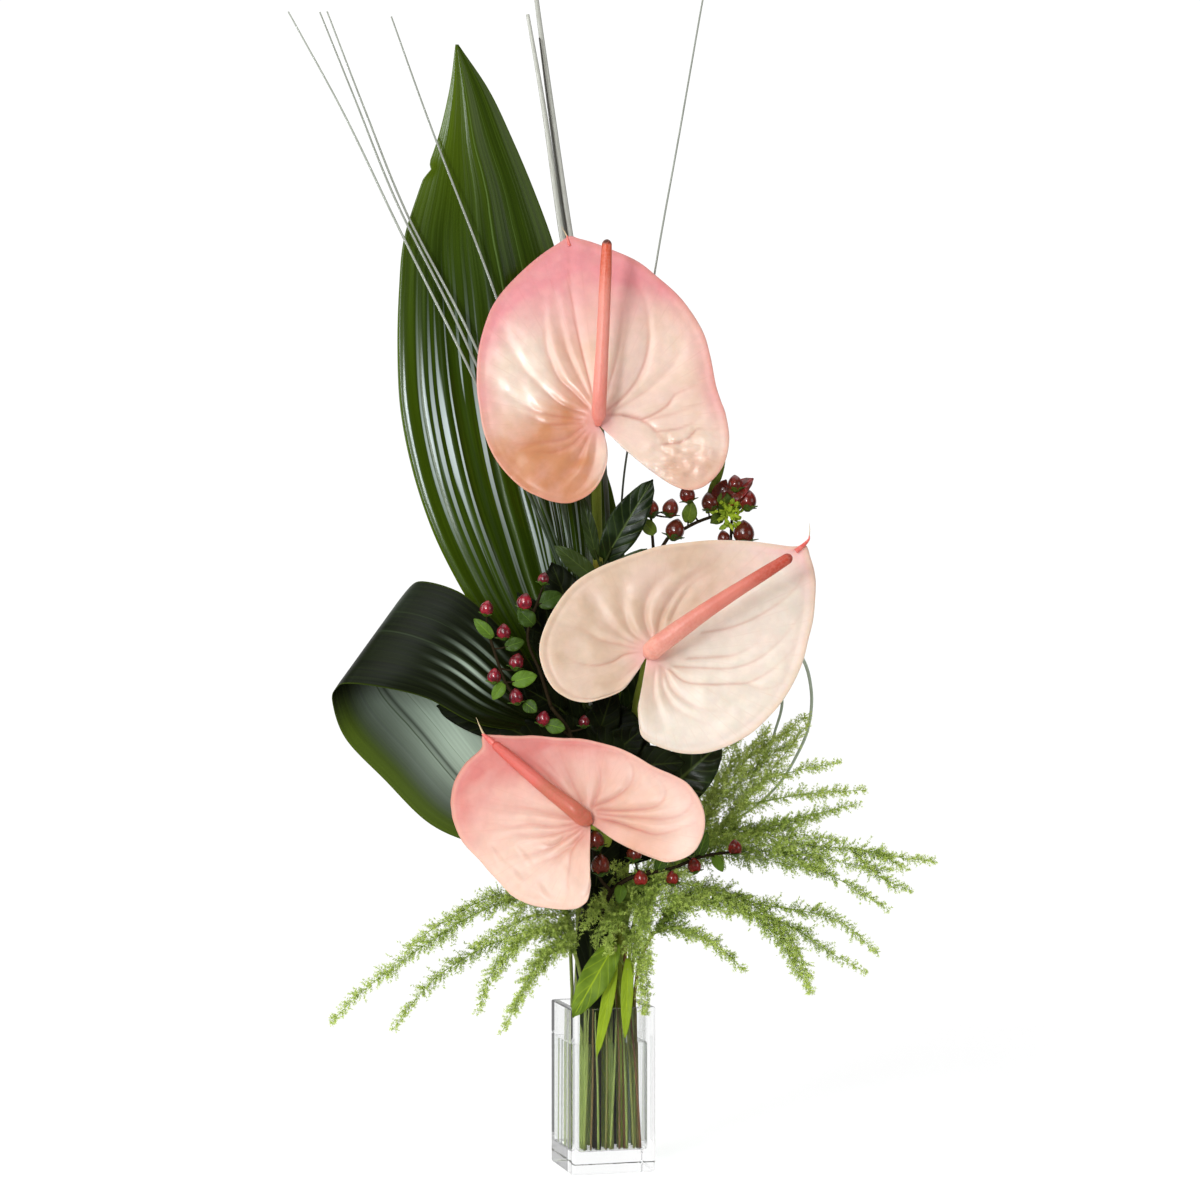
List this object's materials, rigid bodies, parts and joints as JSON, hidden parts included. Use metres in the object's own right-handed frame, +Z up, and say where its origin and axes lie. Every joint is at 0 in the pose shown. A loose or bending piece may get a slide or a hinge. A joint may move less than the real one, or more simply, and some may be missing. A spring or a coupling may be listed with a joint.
{
  "type": "flower arrangement in a glass vase",
  "caption": "Tall arrangement of heart-shaped flowers, broad leaves, berries, fern sprays and grass blades, standing in water in a small square glass vase.",
  "frame": {"origin": "centre of the vase's flat base", "axes": "+Z up the arrangement from the base, +X to the right and +Y away from someone who looks at the flowers' faces"},
  "size_m": [0.4245, 0.2198, 0.795],
  "materials": {
    "top_bract": "gloss",
    "mid_bract": "gloss",
    "low_bract": "gloss",
    "top_spadix": "satin",
    "mid_spadix": "satin",
    "low_spadix": "satin",
    "anthurium_stem": "satin",
    "aspidistra_green": "satin",
    "aspidistra_dark": "gloss",
    "upper_leaves": "satin",
    "center_leaves": "satin",
    "lime_leaves": "satin",
    "left_berries": "gloss",
    "right_berries": "gloss",
    "low_berries": "gloss",
    "fern_green": "matte",
    "grass_grey": "satin",
    "vase_glass": "polished",
    "water_clear": "polished"
  },
  "bodies": {
    "root": {"spathe_top": "top_bract", "spathe_mid": "mid_bract", "spathe_low": "low_bract", "spadix_top": "top_spadix", "spadix_mid": "mid_spadix", "spadix_low": "low_spadix", "stem_anthurium_top": "anthurium_stem", "stem_anthurium_mid": "anthurium_stem", "stem_anthurium_low": "anthurium_stem", "aspidistra_tall": "aspidistra_green", "aspidistra_back": "aspidistra_green", "aspidistra_folded": "aspidistra_dark", "leaves_upper": "upper_leaves", "leaves_center": "center_leaves", "leaves_lime": "lime_leaves", "hypericum_left": "left_berries", "hypericum_right": "right_berries", "hypericum_low": "low_berries", "fern_left": "fern_green", "fern_left_front": "fern_green", "fern_center": "fern_green", "fern_right_main": "fern_green", "fern_right_low": "fern_green", "fern_right_up": "fern_green", "fern_back_left": "fern_green", "fern_back_right": "fern_green", "grass_left": "grass_grey", "grass_center": "grass_grey", "grass_right": "grass_grey", "grass_loops": "grass_grey", "vase": "vase_glass", "water": "water_clear"}
  },
  "joints": []
}
